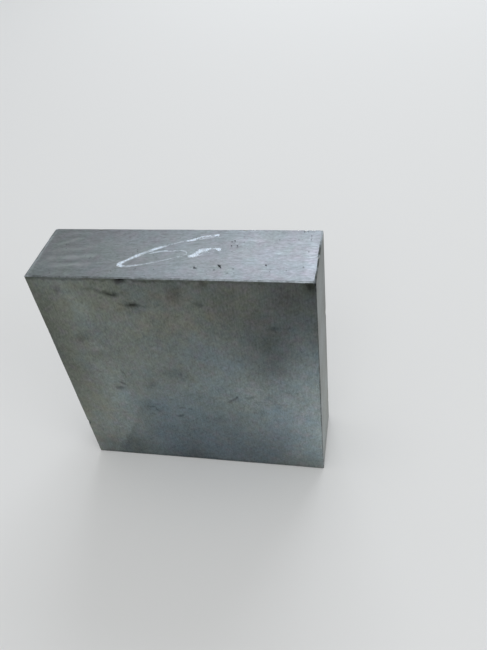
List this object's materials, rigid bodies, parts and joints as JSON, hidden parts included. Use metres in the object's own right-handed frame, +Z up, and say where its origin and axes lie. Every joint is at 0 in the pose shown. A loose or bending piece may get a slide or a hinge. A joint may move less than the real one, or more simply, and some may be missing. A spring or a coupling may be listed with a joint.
{
  "type": "high-speed steel plate",
  "caption": "Thick square plate of high-speed steel stock, sawn to size, with broken arrises, standing on edge.",
  "frame": {"origin": "middle of the underside, on the floor", "axes": "+Z up, through the height; +X along the length, towards the right-hand sawn end; -Y out of the front broad face, +Y through the thickness to the back broad face"},
  "size_m": [0.21, 0.06, 0.21],
  "materials": {
    "tool_steel": "dull machined and rolled steel, satin, with a thin film of oil and shop dirt"
  },
  "bodies": {
    "root": {"steel_plate": "tool_steel"}
  },
  "joints": []
}
